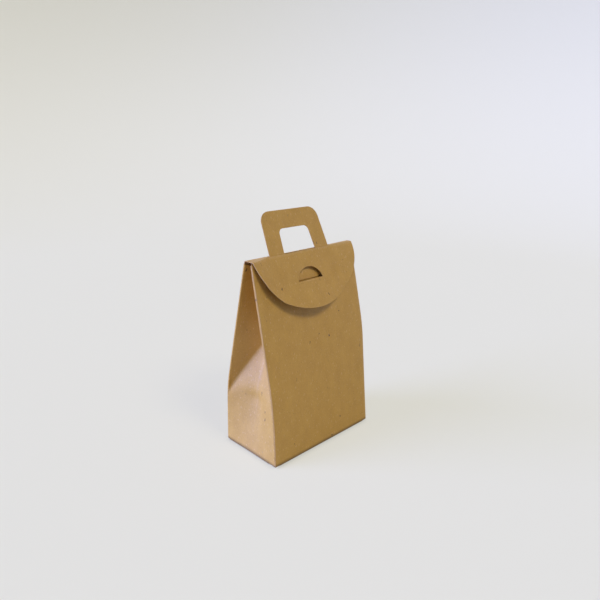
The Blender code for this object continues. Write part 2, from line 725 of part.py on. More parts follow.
def gusset_sheet(mesh, side, glue_tab):
    """One side of the bag, its base flap, and on the left the glue tab."""
    section = GussetSection(side, GLUE_OFFSET if glue_tab else 0.0)
    length = section.length
    level = HINGE_HEIGHT - HINGE_LENGTH
    flap_end = level - SIDE_FLAP_DEPTH
    front_root = SIDE_FLAP_FRONT_INSET
    rear_root = 2 * length - SIDE_FLAP_REAR_INSET
    notch = GUSSET_TOP - GUSSET_NOTCH

    arc = [FOLD_RADIUS * math.pi / CREASE_STEPS * k for k in range(CREASE_STEPS + 1)]
    face = rows(arc[-1], length, GUSSET_STEP)[1:-1]
    crease = [length - CENTRE_CREASE_SOFTNESS, length - CENTRE_CREASE_SOFTNESS / 2, length]
    half = arc + face + crease
    columns = half + [2 * length - u for u in reversed(half[:-1])]

    outline = [(u, HINGE_HEIGHT) for u in reversed(columns) if u > rear_root]
    outline += path([
        (rear_root, HINGE_HEIGHT, 0), (rear_root - SIDE_FLAP_TAPER, flap_end, RELIEF_LENGTH),
        (front_root + SIDE_FLAP_TAPER, flap_end, RELIEF_LENGTH), (front_root, HINGE_HEIGHT, 0)],
        PANEL_STEP)
    outline += [(front_root, HINGE_HEIGHT)]
    outline += [(u, HINGE_HEIGHT) for u in reversed(columns) if u < front_root]
    if glue_tab:
        foot = HINGE_HEIGHT + GLUE_TAB_MARGIN
        outline += path([
            (0.0, foot, 0), (-GLUE_TAB_WIDTH, foot + GLUE_TAB_TAPER, 0),
            (-GLUE_TAB_WIDTH, notch - GLUE_TAB_TAPER, 0), (0.0, notch, 0), (0.0, GUSSET_TOP, 0)],
            ROW_STEP)
    else:
        outline += [(0.0, v) for v in WALL_ROWS[1:-1]]
    outline += [(u, GUSSET_TOP - GUSSET_NOTCH * (1 - abs(u / length - 1))) for u in columns]
    outline += [(2 * length, v) for v in reversed(WALL_ROWS[1:-1])]

    seeds = grid_seeds(columns, WALL_ROWS[1:], CREASE_CLEARANCE)
    if glue_tab:
        seeds += grid_seeds([-GLUE_TAB_WIDTH / 2], WALL_ROWS[1:], FOLD_RADIUS)
    seeds += grid_seeds(columns, [HINGE_HEIGHT], 0.0)
    seeds += hinge_seeds(columns, SIDE_FLAP_DEPTH)
    creases = flat_triangle_creases(length, arc[-1] + FOLD_RADIUS)
    add_sheet(mesh, outline, [], seeds, gusset_fold(side, section), creases)


# Material and object

def kraft_material():
    material = bpy.data.materials.new("kraft_card")
    material.use_nodes = True
    shader = material.node_tree.nodes["Principled BSDF"]
    shader.inputs["Base Color"].default_value = (0.46, 0.30, 0.13, 1.0)
    shader.inputs["Roughness"].default_value = 0.85
    shader.inputs["Metallic"].default_value = 0.0
    return material


def build_bag():
    mesh = bmesh.new()
    front_sheet(mesh)
    rear_sheet(mesh)
    tongue_sheet(mesh)
    gusset_sheet(mesh, -1, glue_tab=True)
    gusset_sheet(mesh, 1, glue_tab=False)
    bmesh.ops.remove_doubles(mesh, verts=mesh.verts, dist=WELD_DISTANCE)
    bmesh.ops.recalc_face_normals(mesh, faces=mesh.faces)
    data = bpy.data.meshes.new("paper_bag")
    mesh.to_mesh(data)
    mesh.free()
    data.materials.append(kraft_material())
    bag = bpy.data.objects.new("paper_bag", data)
    bpy.context.scene.collection.objects.link(bag)
    card = bag.modifiers.new("card", "SOLIDIFY")
    card.thickness = CARD_THICKNESS
    card.offset = 0.0
    card.use_even_offset = False
    card.use_quality_normals = True
    return bag


for old in list(bpy.data.objects):
    bpy.data.objects.remove(old, do_unlink=True)
build_bag()
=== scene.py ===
import math

import bmesh
import bpy
import numpy as np
from mathutils import Matrix, Vector
from mathutils.geometry import delaunay_2d_cdt


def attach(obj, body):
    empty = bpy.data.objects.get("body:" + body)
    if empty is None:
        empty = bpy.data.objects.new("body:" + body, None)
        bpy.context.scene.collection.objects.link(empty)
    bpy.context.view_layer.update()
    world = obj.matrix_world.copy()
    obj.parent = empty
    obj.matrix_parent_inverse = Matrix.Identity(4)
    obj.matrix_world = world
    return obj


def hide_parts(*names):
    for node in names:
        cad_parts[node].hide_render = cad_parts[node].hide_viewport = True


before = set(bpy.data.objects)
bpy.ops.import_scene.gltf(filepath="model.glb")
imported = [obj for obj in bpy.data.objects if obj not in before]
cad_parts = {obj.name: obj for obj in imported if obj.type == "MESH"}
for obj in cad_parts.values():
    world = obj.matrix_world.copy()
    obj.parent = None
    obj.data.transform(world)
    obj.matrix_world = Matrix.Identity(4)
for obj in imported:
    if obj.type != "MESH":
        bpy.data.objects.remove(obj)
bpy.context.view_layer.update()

mm = 0.001

# The bag is one die-cut sheet of kraft card, drawn flat piece by piece and folded up.
# x or u runs across a piece of the blank and v runs up it, so v is the height on the walls.

card = {
    "thickness": 0.45 * mm,
    "foldRadius": 0.6 * mm,
    "layerGap": 0.3 * mm,        # air between cards that lie on each other
    "glueGap": 0.05 * mm,
    "creaseReach": 0.7 * mm,     # of the pale wear, partly a painted highlight, and of the painted shade at the base fold, on each side of a crease
    "sharpAngle": math.radians(50),
}
layerPitch = card["thickness"] + card["layerGap"]
hingeHeight = card["foldRadius"] + card["thickness"] / 2
hingeLength = card["foldRadius"] * math.pi / 2

body = {
    "width": 100 * mm,
    "depth": 53.4 * mm,
    "ridgeHeight": 142.4 * mm,
    "frontLeft": {"knee": 60 * mm, "kneeDepth": 20.9 * mm, "ridgeDepth": 2.2 * mm, "belly": 2.0},
    "frontRight": {"knee": 80 * mm, "kneeDepth": 17.6 * mm, "ridgeDepth": 2.2 * mm, "belly": 1.0},
    "rear": {"knee": 46 * mm, "kneeDepth": 26.2 * mm, "ridgeDepth": 5.6 * mm, "belly": 2.0},
    "kneeSoftness": 10 * mm,
    "pinchDepth": 5.4 * mm,      # how far the handle is drawn back to the rear crease
    "pinchDrop": 34 * mm,
    "pinchPower": 1.5,
    "frontPinchRight": 0.6 * mm,
    "rearPinchRight": 3.6 * mm,
    "ridgeRiseRight": 1.3 * mm,  # by which the ridge climbs to its right end
}
halfWidth = body["width"] / 2
panelHalf = halfWidth - card["foldRadius"]
ridge = body["ridgeHeight"]


def smoothStep(value):
    value = np.clip(value, 0.0, 1.0)
    return value * value * (3 - 2 * value)


def softRamp(value, softness):
    bend = (value + softness) ** 2 / (4 * softness)
    return np.where(value <= -softness, 0.0, np.where(value >= softness, value, bend))


def panelDepth(height, shape):
    drop = body["depth"] / 2 - shape["kneeDepth"]
    kneeSlope = shape["belly"] * drop / shape["knee"]
    upperSlope = (shape["kneeDepth"] - shape["ridgeDepth"]) / (ridge - shape["knee"])
    share = np.clip(height / shape["knee"], 0.0, 1.0)
    low = drop * share ** shape["belly"] + kneeSlope * np.maximum(height - shape["knee"], 0.0)
    lean = (upperSlope - kneeSlope) * softRamp(height - shape["knee"], body["kneeSoftness"])
    return body["depth"] / 2 - low - lean


def frontDepth(x, height):
    right = np.clip(x / body["width"] + 0.5, 0.0, 1.0)
    return (panelDepth(height, body["frontLeft"]) * (1 - right)
            + panelDepth(height, body["frontRight"]) * right)


def rearDepth(height):
    return panelDepth(height, body["rear"])


handle = {
    "height": 32 * mm,
    "baseWidth": 58.6 * mm,
    "topWidth": 54.6 * mm,
    "cornerRadius": 8.5 * mm,
    "barWidth": 13.4 * mm,
    "holeBaseWidth": 31 * mm,
    "holeTopWidth": 28.2 * mm,
    "holeCorner": 4 * mm,
    "panelMargin": 0.3 * mm,
    "slitSpare": 1.5 * mm,
}
panelTop = ridge - handle["panelMargin"]


def besideHandle(x):
    half = handle["baseWidth"] / 2
    return smoothStep((np.abs(x) - half) / (halfWidth - half))


def pinchRise(height):
    rise = np.maximum((height - ridge + body["pinchDrop"]) / body["pinchDrop"], 0.0)
    return rise ** body["pinchPower"]


def frontY(x, height):
    end = np.where(x > 0, body["frontPinchRight"], 0.0)
    pinch = body["pinchDepth"] + (end - body["pinchDepth"]) * besideHandle(x)
    return pinch * pinchRise(height) - frontDepth(x, height)


def rearY(x, height):
    end = np.where(x > 0, body["rearPinchRight"], 0.0)
    return rearDepth(height) - end * besideHandle(x) * pinchRise(height)


def frontSlope(x, height):
    step = card["thickness"]
    return (frontY(x, height) - frontY(x, height - step)) / step


handleLean = float(np.arctan(frontSlope(0.0, ridge)))
standoff = layerPitch / math.cos(handleLean)


def lifted(points):
    # The whole ridge climbs a little to its right end.
    rise = body["ridgeRiseRight"] * besideHandle(points[:, 0]) * pinchRise(points[:, 2])
    points[:, 2] += np.where(points[:, 0] > 0, rise, 0.0)
    return points


def stack(x, y, z):
    return np.stack(np.broadcast_arrays(x, y, z), axis=-1)


base = {
    "rise": 4 * mm,
    "rearDepth": 24 * mm, "rearInset": 4.5 * mm,
    "sideDepth": 30 * mm, "sideFrontInset": 6 * mm, "sideRearInset": 2 * mm, "sideTaper": 6 * mm,
    "frontDepth": 36 * mm, "frontInset": 3.5 * mm,
    "taper": 2 * mm,
    "recessWidth": 38 * mm, "recessDepth": 11 * mm,
    "tabWidth": 32 * mm, "tabLength": 14 * mm, "tabTaper": 3 * mm,
    "reliefLength": 6 * mm, "reliefWidth": 1 * mm,
}


def baseFlapPoint(run, rise):
    turn = np.minimum(run, hingeLength) / card["foldRadius"]
    past = run >= hingeLength
    inward = np.where(past, card["foldRadius"] + run - hingeLength, card["foldRadius"] * (1 - np.cos(turn)))
    z = np.where(past, card["thickness"] / 2 + rise, hingeHeight - card["foldRadius"] * np.sin(turn))
    return inward, z


def layerRise(run, layer):
    return layer * layerPitch * smoothStep((run - hingeLength) / base["rise"])


def foldFront(x, v):
    run = np.maximum(hingeHeight - v, 0.0)
    inward, low = baseFlapPoint(run, layerRise(run, 2))
    up = np.maximum(v - ridge, 0.0)
    wall = np.clip(v, hingeHeight, ridge)
    y = np.where(v < hingeHeight, inward - frontDepth(x, hingeHeight),
                 frontY(x, wall) + up * math.sin(handleLean))
    z = np.where(v < hingeHeight, low, wall + up * math.cos(handleLean))
    return stack(x, y, z)


flap = {
    "length": 45.9 * mm,         # from the rear crease to its tip, along the card
    "straight": 8 * mm,
    "roundness": 1.87,
    "rearLean": math.radians(13),
    "hang": math.radians(25.4),  # from upright, as it hangs
    "spring": math.radians(8.8),  # by which it springs out further at its crease
    "springLeftShare": 0.38,
    "springReach": 8.5 * mm,
    "bulge": math.radians(7.7),  # more of that over the lock
    "bulgeReach": 16 * mm,
    "kick": math.radians(8),     # outward again below the lock
    "kickDrop": 20 * mm,
    "kickRun": 5 * mm,
    "steps": 60,
    "edgeSteps": 90,
}
rearCreaseRun = card["foldRadius"] * (math.pi / 2 - flap["rearLean"])


def flapHeading(x, drop):
    # The flap's angle from upright, a distance along the card from its front crease
    left = 1 - flap["springLeftShare"] * x / halfWidth
    bulge = flap["bulge"] * np.exp(-(x / flap["bulgeReach"]) ** 2)
    spring = (flap["spring"] * left + bulge) * np.exp(-drop / flap["springReach"])
    kick = flap["kick"] * smoothStep((drop - flap["kickDrop"]) / flap["kickRun"] + 0.5)
    return flap["hang"] + spring + kick


def frontCreaseRun(x):
    return card["foldRadius"] * (math.pi / 2 - flapHeading(x, 0.0))


def creaseCentre(x):
    radius, lean = card["foldRadius"], flap["rearLean"]
    return rearY(x, ridge) - radius * math.cos(lean), ridge - radius * math.sin(lean)


def topRun(x):
    # Length of the flat strip over the ridge
    bend = card["foldRadius"] * np.cos(flapHeading(x, 0.0))
    return creaseCentre(x)[0] - (frontY(x, ridge) - standoff) - bend


def flapFace(x, drop):
    radius = card["foldRadius"]
    heading = flapHeading(x, 0.0)
    centreY, centreZ = creaseCentre(x)
    y = centreY - topRun(x) - radius * np.cos(heading)
    z = centreZ + radius * np.sin(heading)
    for k in range(flap["steps"]):
        heading = flapHeading(x, drop * (k + 0.5) / flap["steps"])
        y = y - np.sin(heading) * drop / flap["steps"]
        z = z - np.cos(heading) * drop / flap["steps"]
    return stack(x, y, z)


def foldFlap(x, run):
    radius = card["foldRadius"]
    top, creaseRun = topRun(x), frontCreaseRun(x)
    centreY, centreZ = creaseCentre(x)
    rearTurn = flap["rearLean"] + np.minimum(run, rearCreaseRun) / radius
    past = np.maximum(run - rearCreaseRun - top, 0.0)
    frontTurn = math.pi / 2 + np.minimum(past, creaseRun) / radius
    face = flapFace(x, np.maximum(past - creaseRun, 0.0))
    onRear, onTop, onFront = run < rearCreaseRun, run < rearCreaseRun + top, past < creaseRun
    y = np.where(onRear, centreY + radius * np.cos(rearTurn),
                 np.where(onTop, centreY - run + rearCreaseRun,
                          np.where(onFront, centreY - top + radius * np.cos(frontTurn), face[..., 1])))
    z = np.where(onRear, centreZ + radius * np.sin(rearTurn),
                 np.where(onTop, centreZ + radius,
                          np.where(onFront, centreZ + radius * np.sin(frontTurn), face[..., 2])))
    return stack(x, y, z)


def foldRear(x, v):
    run = np.maximum(hingeHeight - v, 0.0)
    root = hingeLength + base["rearDepth"] - base["reliefLength"]
    climb = smoothStep((run - root) / (base["recessDepth"] - base["reliefWidth"]))
    onTab = np.abs(x) < base["tabWidth"] / 2 + base["reliefWidth"] / 2
    inward, low = baseFlapPoint(run, np.where(onTab, 3 * layerPitch * climb, 0.0))
    wall = np.clip(v, hingeHeight, ridge)
    over = foldFlap(x, np.maximum(v - ridge, 0.0))
    y = np.where(v < hingeHeight, rearDepth(hingeHeight) - inward,
                 np.where(v <= ridge, rearY(x, wall), over[..., 1]))
    z = np.where(v < hingeHeight, low, np.where(v <= ridge, wall, over[..., 2]))
    return stack(x, y, z)


lock = {
    "drop": 21.5 * mm,           # hinge line, below the front crease, along the card
    "width": 24.2 * mm,
    "height": 9.7 * mm,
    "angle": math.radians(102),
    "slotSpare": 1.2 * mm,
}


def tonguePass(x):
    # The hinge, the front panel's slope there, and the runs to the slot and out behind it
    hinge = flapFace(x, lock["drop"])
    slope = frontSlope(x, hinge[..., 2])
    gain = math.sin(lock["angle"]) - slope * math.cos(lock["angle"])
    reach = frontY(x, hinge[..., 2]) - hinge[..., 1]
    return hinge, slope, reach / gain, (reach + standoff) / gain


def foldTongue(x, past):
    hinge, slope, _, through = tonguePass(x)
    run = np.minimum(past, through)
    y = hinge[..., 1] + run * math.sin(lock["angle"])
    z = hinge[..., 2] + run * math.cos(lock["angle"])
    zTop = z + np.maximum(past - through, 0.0) * np.cos(np.arctan(slope))
    return stack(x, y + frontY(x, zTop) - frontY(x, z), zTop)


gusset = {
    "flatFoot": 39 * mm,         # feet of the flat triangle at the edges
    "flatApex": 87 * mm,         # and its apex on the centre crease
    "flatShare": 0.2,
    "foldSoftness": 3.5 * mm,
    "centreSoftness": 12 * mm,
    "creaseSoftness": 1.5 * mm,
    "topMargin": 1.2 * mm,
    "notch": 8 * mm,
    "tabWidth": 10 * mm,
    "tabTaper": 6 * mm,
    "tabMargin": 4 * mm,
    "sectionSteps": 400,
    "sectionRows": 281,
    "slopeTrials": 30,
    "centreSteps": 4,
    "wornStart": 10 * mm,        # height where the centre crease starts to show
    "wornRise": 60 * mm,
    "wornPast": 1.05,            # how far the slanting creases show, past their meeting
}
gussetTop = ridge - gusset["topMargin"]


def gussetTable(side, frontOffset):
    # Sections whose card keeps its length as the panels close on it, one row for each height.
    steps = gusset["sectionSteps"]
    length = (body["depth"] - frontOffset) / 2 - card["foldRadius"] + hingeLength
    heights = np.linspace(hingeHeight, ridge, gusset["sectionRows"])
    x = side * panelHalf
    wanted = (frontDepth(x, heights) + rearDepth(heights) - frontOffset) / 2
    run = (np.arange(steps) + 0.5)[None, :] * length / steps
    climb = np.clip((heights - gusset["flatFoot"]) / (gusset["flatApex"] - gusset["flatFoot"]), 0.0, 1.0)
    past = smoothStep((run - length * climb[:, None]) / gusset["foldSoftness"] + 0.5)
    steep = 1 - (1 - gusset["flatShare"]) * past
    share = np.clip(heights / gusset["flatApex"], 0.0, 1.0)
    softness = gusset["centreSoftness"] + (gusset["creaseSoftness"] - gusset["centreSoftness"]) * share
    shape = steep * smoothStep((length - run) / softness[:, None])
    corner = run / card["foldRadius"] - math.pi / 2
    low, high = np.zeros(len(heights)), np.full(len(heights), math.pi)
    for _ in range(gusset["slopeTrials"]):
        slope = (low + high) / 2
        angle = np.minimum(np.minimum(corner, slope[:, None] * shape), math.pi / 2)
        wide = np.cos(angle).sum(axis=1) * length / steps > wanted
        low, high = np.where(wide, slope, low), np.where(wide, high, slope)
    along = np.cumsum(np.cos(angle), axis=1) * length / steps
    inward = np.cumsum(np.sin(angle), axis=1) * length / steps
    along *= (wanted / along[:, -1])[:, None]
    edge = np.zeros((len(heights), 1))
    return length, heights, np.hstack([edge, along]), np.hstack([edge, inward])


def readTable(table, run, height):
    length, heights, along, inward = table
    steps = gusset["sectionSteps"]
    lastRow = len(heights) - 1 - grid["rounding"]
    row = np.clip((height - heights[0]) / (heights[1] - heights[0]), 0.0, lastRow)
    column = np.clip(run / length, 0.0, 1.0) * steps
    atRow, atColumn = row.astype(int), np.minimum(column.astype(int), steps - 1)
    rowPart, columnPart = row - atRow, column - atColumn
    read = []
    for values in (along, inward):
        low = values[atRow, atColumn] * (1 - columnPart) + values[atRow, atColumn + 1] * columnPart
        up = values[atRow + 1, atColumn] * (1 - columnPart) + values[atRow + 1, atColumn + 1] * columnPart
        read.append(low * (1 - rowPart) + up * rowPart)
    return read


def gussetFold(side, frontOffset, table):
    length = table[0]

    def wall(u, height):
        rear, front = rearDepth(height), -frontDepth(side * panelHalf, height)
        onFront = u <= length
        along, inward = readTable(table, np.where(onFront, u, 2 * length - u), height)
        y = np.where(onFront, front + frontOffset + along, rear - along)
        x = side * (panelHalf - inward)
        share = (y - front) / (rear - front)
        y = frontY(x, height) * (1 - share) + rearY(x, height) * share
        tabX = side * (panelHalf + u)
        x = np.where(u < 0, tabX, x)
        y = np.where(u < 0, frontY(tabX, height) + frontOffset, y)
        return stack(x, y, height)

    def fold(u, v):
        point = wall(u, np.maximum(v, hingeHeight))
        run = np.maximum(hingeHeight - v, 0.0)
        inward, low = baseFlapPoint(run, layerRise(run, 1))
        point[..., 0] -= np.where(v < hingeHeight, side * inward, 0.0)
        point[..., 2] = np.where(v < hingeHeight, low, point[..., 2])
        return point

    return fold


# Flat outlines

grid = {
    "row": 2.4 * mm,             # mesh steps over the walls
    "column": 2.4 * mm,
    "gussetColumn": 1.1 * mm,
    "flap": 1.8 * mm,
    "clearance": 0.45,           # of a step, kept free beside a cut edge
    "creaseClearance": card["foldRadius"] / 5,
    "arc": math.radians(6),
    "leastArc": 3,
    "creaseSteps": 6,
    "rounding": 0.001,
    "weld": 0.001 * mm,
}


def divide(start, end, step):
    length = math.hypot(end[0] - start[0], end[1] - start[1])
    count = max(1, math.ceil(length / step - grid["rounding"]))
    return [(start[0] + (end[0] - start[0]) * k / count, start[1] + (end[1] - start[1]) * k / count)
            for k in range(count)]


def cornerArc(before, corner, after, radius):
    if radius == 0:
        return [corner]
    spot = Vector(corner)
    back = (Vector(before) - spot).normalized()
    on = (Vector(after) - spot).normalized()
    half = back.angle(on) / 2
    centre = spot + (back + on).normalized() * radius / math.sin(half)
    start = spot + back * radius / math.tan(half) - centre
    end = spot + on * radius / math.tan(half) - centre
    sweep = -start.angle_signed(end)
    pieces = max(grid["leastArc"], math.ceil(abs(sweep) / grid["arc"]))
    first = math.atan2(start.y, start.x)
    return [(centre.x + radius * math.cos(first + sweep * k / pieces),
             centre.y + radius * math.sin(first + sweep * k / pieces)) for k in range(pieces + 1)]


def path(corners, step):
    arcs = [[corners[0][:2]]]
    for before, (x, v, radius), after in zip(corners, corners[1:], corners[2:]):
        arcs.append(cornerArc(before[:2], (x, v), after[:2], radius))
    arcs.append([corners[-1][:2]])
    points = []
    for arc, following in zip(arcs, arcs[1:]):
        points += arc[:-1] + divide(arc[-1], following[0], step)
    return points


def closed(corners, step):
    middle = ((corners[0][0] + corners[-1][0]) / 2, (corners[0][1] + corners[-1][1]) / 2, 0)
    return path([middle] + corners + [middle], step)


def mirrored(corners):
    return [(-x, v, radius) for x, v, radius in reversed(corners)]


def insideLoop(points, loop):
    x, v = points[:, :1], points[:, 1:2]
    start, end = loop, np.roll(loop, -1, axis=0)
    rise = end[:, 1] - start[:, 1]
    rise = np.where(rise == 0, 1.0, rise)
    crosses = (start[:, 1] > v) != (end[:, 1] > v)
    at = start[:, 0] + (v - start[:, 1]) * (end[:, 0] - start[:, 0]) / rise
    return np.sum(crosses & (x < at), axis=1) % 2 == 1


def distanceTo(points, loop):
    run = np.roll(loop, -1, axis=0) - loop
    reach = points[:, None, :] - loop[None, :, :]
    share = np.clip((reach * run).sum(axis=2) / (run * run).sum(axis=1), 0.0, 1.0)
    return np.linalg.norm(reach - share[..., None] * run, axis=2).min(axis=1)


def rows(low, high, step):
    count = max(1, math.ceil((high - low) / step - grid["rounding"]))
    return [low + (high - low) * k / count for k in range(count + 1)]


def within(points, loops):
    keep = insideLoop(points, loops[0])
    for hole in loops[1:]:
        keep &= ~insideLoop(points, hole)
    return keep


def seedGrid(columns, heights, clearance):
    return [(x, v, clearance) for x in columns for v in heights]


def fillOutline(outline, holes, seeds):
    # Triangles over a flat outline, and each point's distance to the nearest cut edge
    loops = [np.array(loop) for loop in [outline] + holes]
    seeds = np.array(seeds)
    seeds = seeds[within(seeds[:, :2], loops)]
    gap = np.min([distanceTo(seeds[:, :2], loop) for loop in loops], axis=0)
    seeds = seeds[gap > seeds[:, 2]][:, :2]
    flat, edges = [], []
    for loop in loops:
        first = len(flat)
        flat += [tuple(point) for point in loop]
        edges += [(first + k, first + (k + 1) % len(loop)) for k in range(len(loop))]
    flat += [tuple(point) for point in seeds]
    result = delaunay_2d_cdt([Vector(point) for point in flat], edges, [], 0, grid["weld"] / 10)
    points = np.array([point[:] for point in result[0]])
    middles = np.array([points[list(face)].mean(axis=0) for face in result[2]])
    faces = [face for face, keep in zip(result[2], within(middles, loops)) if keep]
    return points, faces, np.min([distanceTo(points, loop) for loop in loops], axis=0)


def addSheet(mesh, outline, holes, seeds, fold, place, creases, onBody=True):
    # Folds a filled outline. Each point keeps its place on the blank, and how near it is to
    # a crease, a cut edge and the base's fold, for the material's pale wear, painted highlight and painted
    # shade.
    points, faces, gap = fillOutline(outline, holes, seeds)
    across, up = points[:, 0], points[:, 1]
    folded = lifted(fold(across, up))
    blank = stack(*place(across, up), 0.0)
    # Crease and edge-gap masks lay pale wear that is partly a painted highlight; the base fold mask lays
    # painted shade.
    kept = {"crease": creases(across, up), "edgeGap": gap, "baseFold": hingeCrease(up) * onBody}
    verts = []
    for k in range(len(points)):
        vert = mesh.verts.new(folded[k])
        vert[mesh.verts.layers.float_vector["blank"]] = blank[k]
        for name, values in kept.items():
            vert[mesh.verts.layers.float[name]] = values[k]
        verts.append(vert)
    for face in faces:
        mesh.faces.new([verts[k] for k in face])


wallRows = rows(hingeHeight, gussetTop, grid["row"])


def hingeSeeds(columns, depth):
    steps = grid["creaseSteps"]
    level = hingeHeight - hingeLength
    heights = [hingeHeight - hingeLength * k / steps for k in range(1, steps + 1)]
    heights += [level - base["rise"] * k / steps for k in range(1, steps + 1)]
    heights += rows(level - depth, level - base["rise"], grid["row"] * 2)
    return seedGrid(columns, heights, grid["creaseClearance"])


def nearLine(distance):
    return np.exp(-(distance / card["creaseReach"]) ** 2)


# Mask for the painted shade along the fold under the base
def hingeCrease(v):
    return nearLine(np.maximum(np.abs(v - hingeHeight + hingeLength / 2) - hingeLength / 4, 0.0))


def halfMoon(clearance):
    # The tongue's round edge, from left to right, a clearance inside its cut
    across, up = lock["width"] / 2 - clearance, lock["height"] - clearance
    count = math.ceil(math.pi / grid["arc"])
    turns = [math.pi * (1 - k / count) for k in range(1, count)]
    return [(across * math.cos(turn), up * math.sin(turn)) for turn in turns]


def chordPoints():
    half = lock["width"] / 2
    return divide((half, 0.0), (-half, 0.0), grid["flap"]) + [(-half, 0.0)]


def frontSheet(mesh):
    left, right = -halfWidth - card["thickness"] / 2, panelHalf
    flapEnd = hingeHeight - hingeLength - base["frontDepth"]
    flapHalf = halfWidth - base["frontInset"]
    tipHalf = flapHalf - base["taper"]
    recessHalf = base["recessWidth"] / 2
    recessTop = flapEnd + base["recessDepth"]
    baseHalf, topHalf = handle["baseWidth"] / 2, handle["topWidth"] / 2
    handleTop = ridge + handle["height"]
    corner = card["foldRadius"]

    flapSide = [
        (right, hingeHeight, 0), (flapHalf, hingeHeight, 0), (tipHalf, flapEnd, base["reliefLength"]),
        (recessHalf, flapEnd, corner), (recessHalf, recessTop, corner)]
    handleSide = [(-baseHalf, panelTop, 0), (-topHalf, handleTop, handle["cornerRadius"])]
    outline = path(flapSide + mirrored(flapSide[1:]) + [(left, hingeHeight, 0)], grid["row"])
    outline += [(left, v) for v in wallRows]
    outline += path([(left, panelTop, 0)] + handleSide + mirrored(handleSide) + [(right, panelTop, 0)],
                    grid["flap"])
    outline += [(right, panelTop)] + [(right, v) for v in reversed(wallRows[1:])]

    holeTop = handleTop - handle["barWidth"]
    holeSide = [(-handle["holeBaseWidth"] / 2, panelTop, corner),
                (-handle["holeTopWidth"] / 2, holeTop, handle["holeCorner"])]
    hole = closed(holeSide + mirrored(holeSide), grid["flap"])
    hinge, slope, run, _ = tonguePass(0.0)
    cross = lock["angle"] - math.atan(float(slope))
    slotMiddle = float(hinge[2]) + float(run) * math.cos(lock["angle"])
    slotReach = (card["layerGap"] + card["thickness"] / 2 * (1 + math.cos(cross))) / math.sin(cross)
    slotHalf = lock["width"] / 2 + lock["slotSpare"]
    slotSide = [(-slotHalf, slotMiddle - slotReach, corner), (-slotHalf, slotMiddle + slotReach, corner)]
    slot = closed(slotSide + mirrored(slotSide), grid["flap"])

    columns = rows(-panelHalf, panelHalf, grid["column"])
    near = rows(-panelHalf, panelHalf, grid["flap"])
    seeds = seedGrid(columns, wallRows[1:], grid["row"] * grid["clearance"])
    handleRows = rows(ridge - grid["row"], handleTop, grid["flap"])
    seeds += seedGrid(near, handleRows, grid["flap"] * grid["clearance"])
    seeds += seedGrid(near, [ridge], handle["panelMargin"])
    seeds += seedGrid(columns, [hingeHeight], 0.0)
    seeds += hingeSeeds(columns, base["frontDepth"])

    def creases(x, v):
        return nearLine(x - panelHalf) * (v > hingeHeight)

    addSheet(mesh, outline, [hole, slot], seeds, foldFront, lambda x, v: (x, v), creases)


def flapEdge(x):
    share = np.maximum(1 - np.abs(x / panelHalf) ** flap["roundness"], 0.0)
    return flap["straight"] + (flap["length"] - flap["straight"]) * share ** (1 / flap["roundness"])


def creaseRows(x):
    # Where the flap's two creases bend, along the card from the rear crease's start
    steps = grid["creaseSteps"]
    front = rearCreaseRun + float(topRun(x))
    turn = float(frontCreaseRun(x))
    return ([rearCreaseRun * k / steps for k in range(steps + 1)]
            + [front + turn * k / steps for k in range(steps + 1)])


def flapSideRows(x, end):
    past = creaseRows(x)
    past += rows(past[-1], max(end, past[-1]), grid["flap"])[1:]
    return [ridge + v for v in past if v < end - card["foldRadius"] / 2]


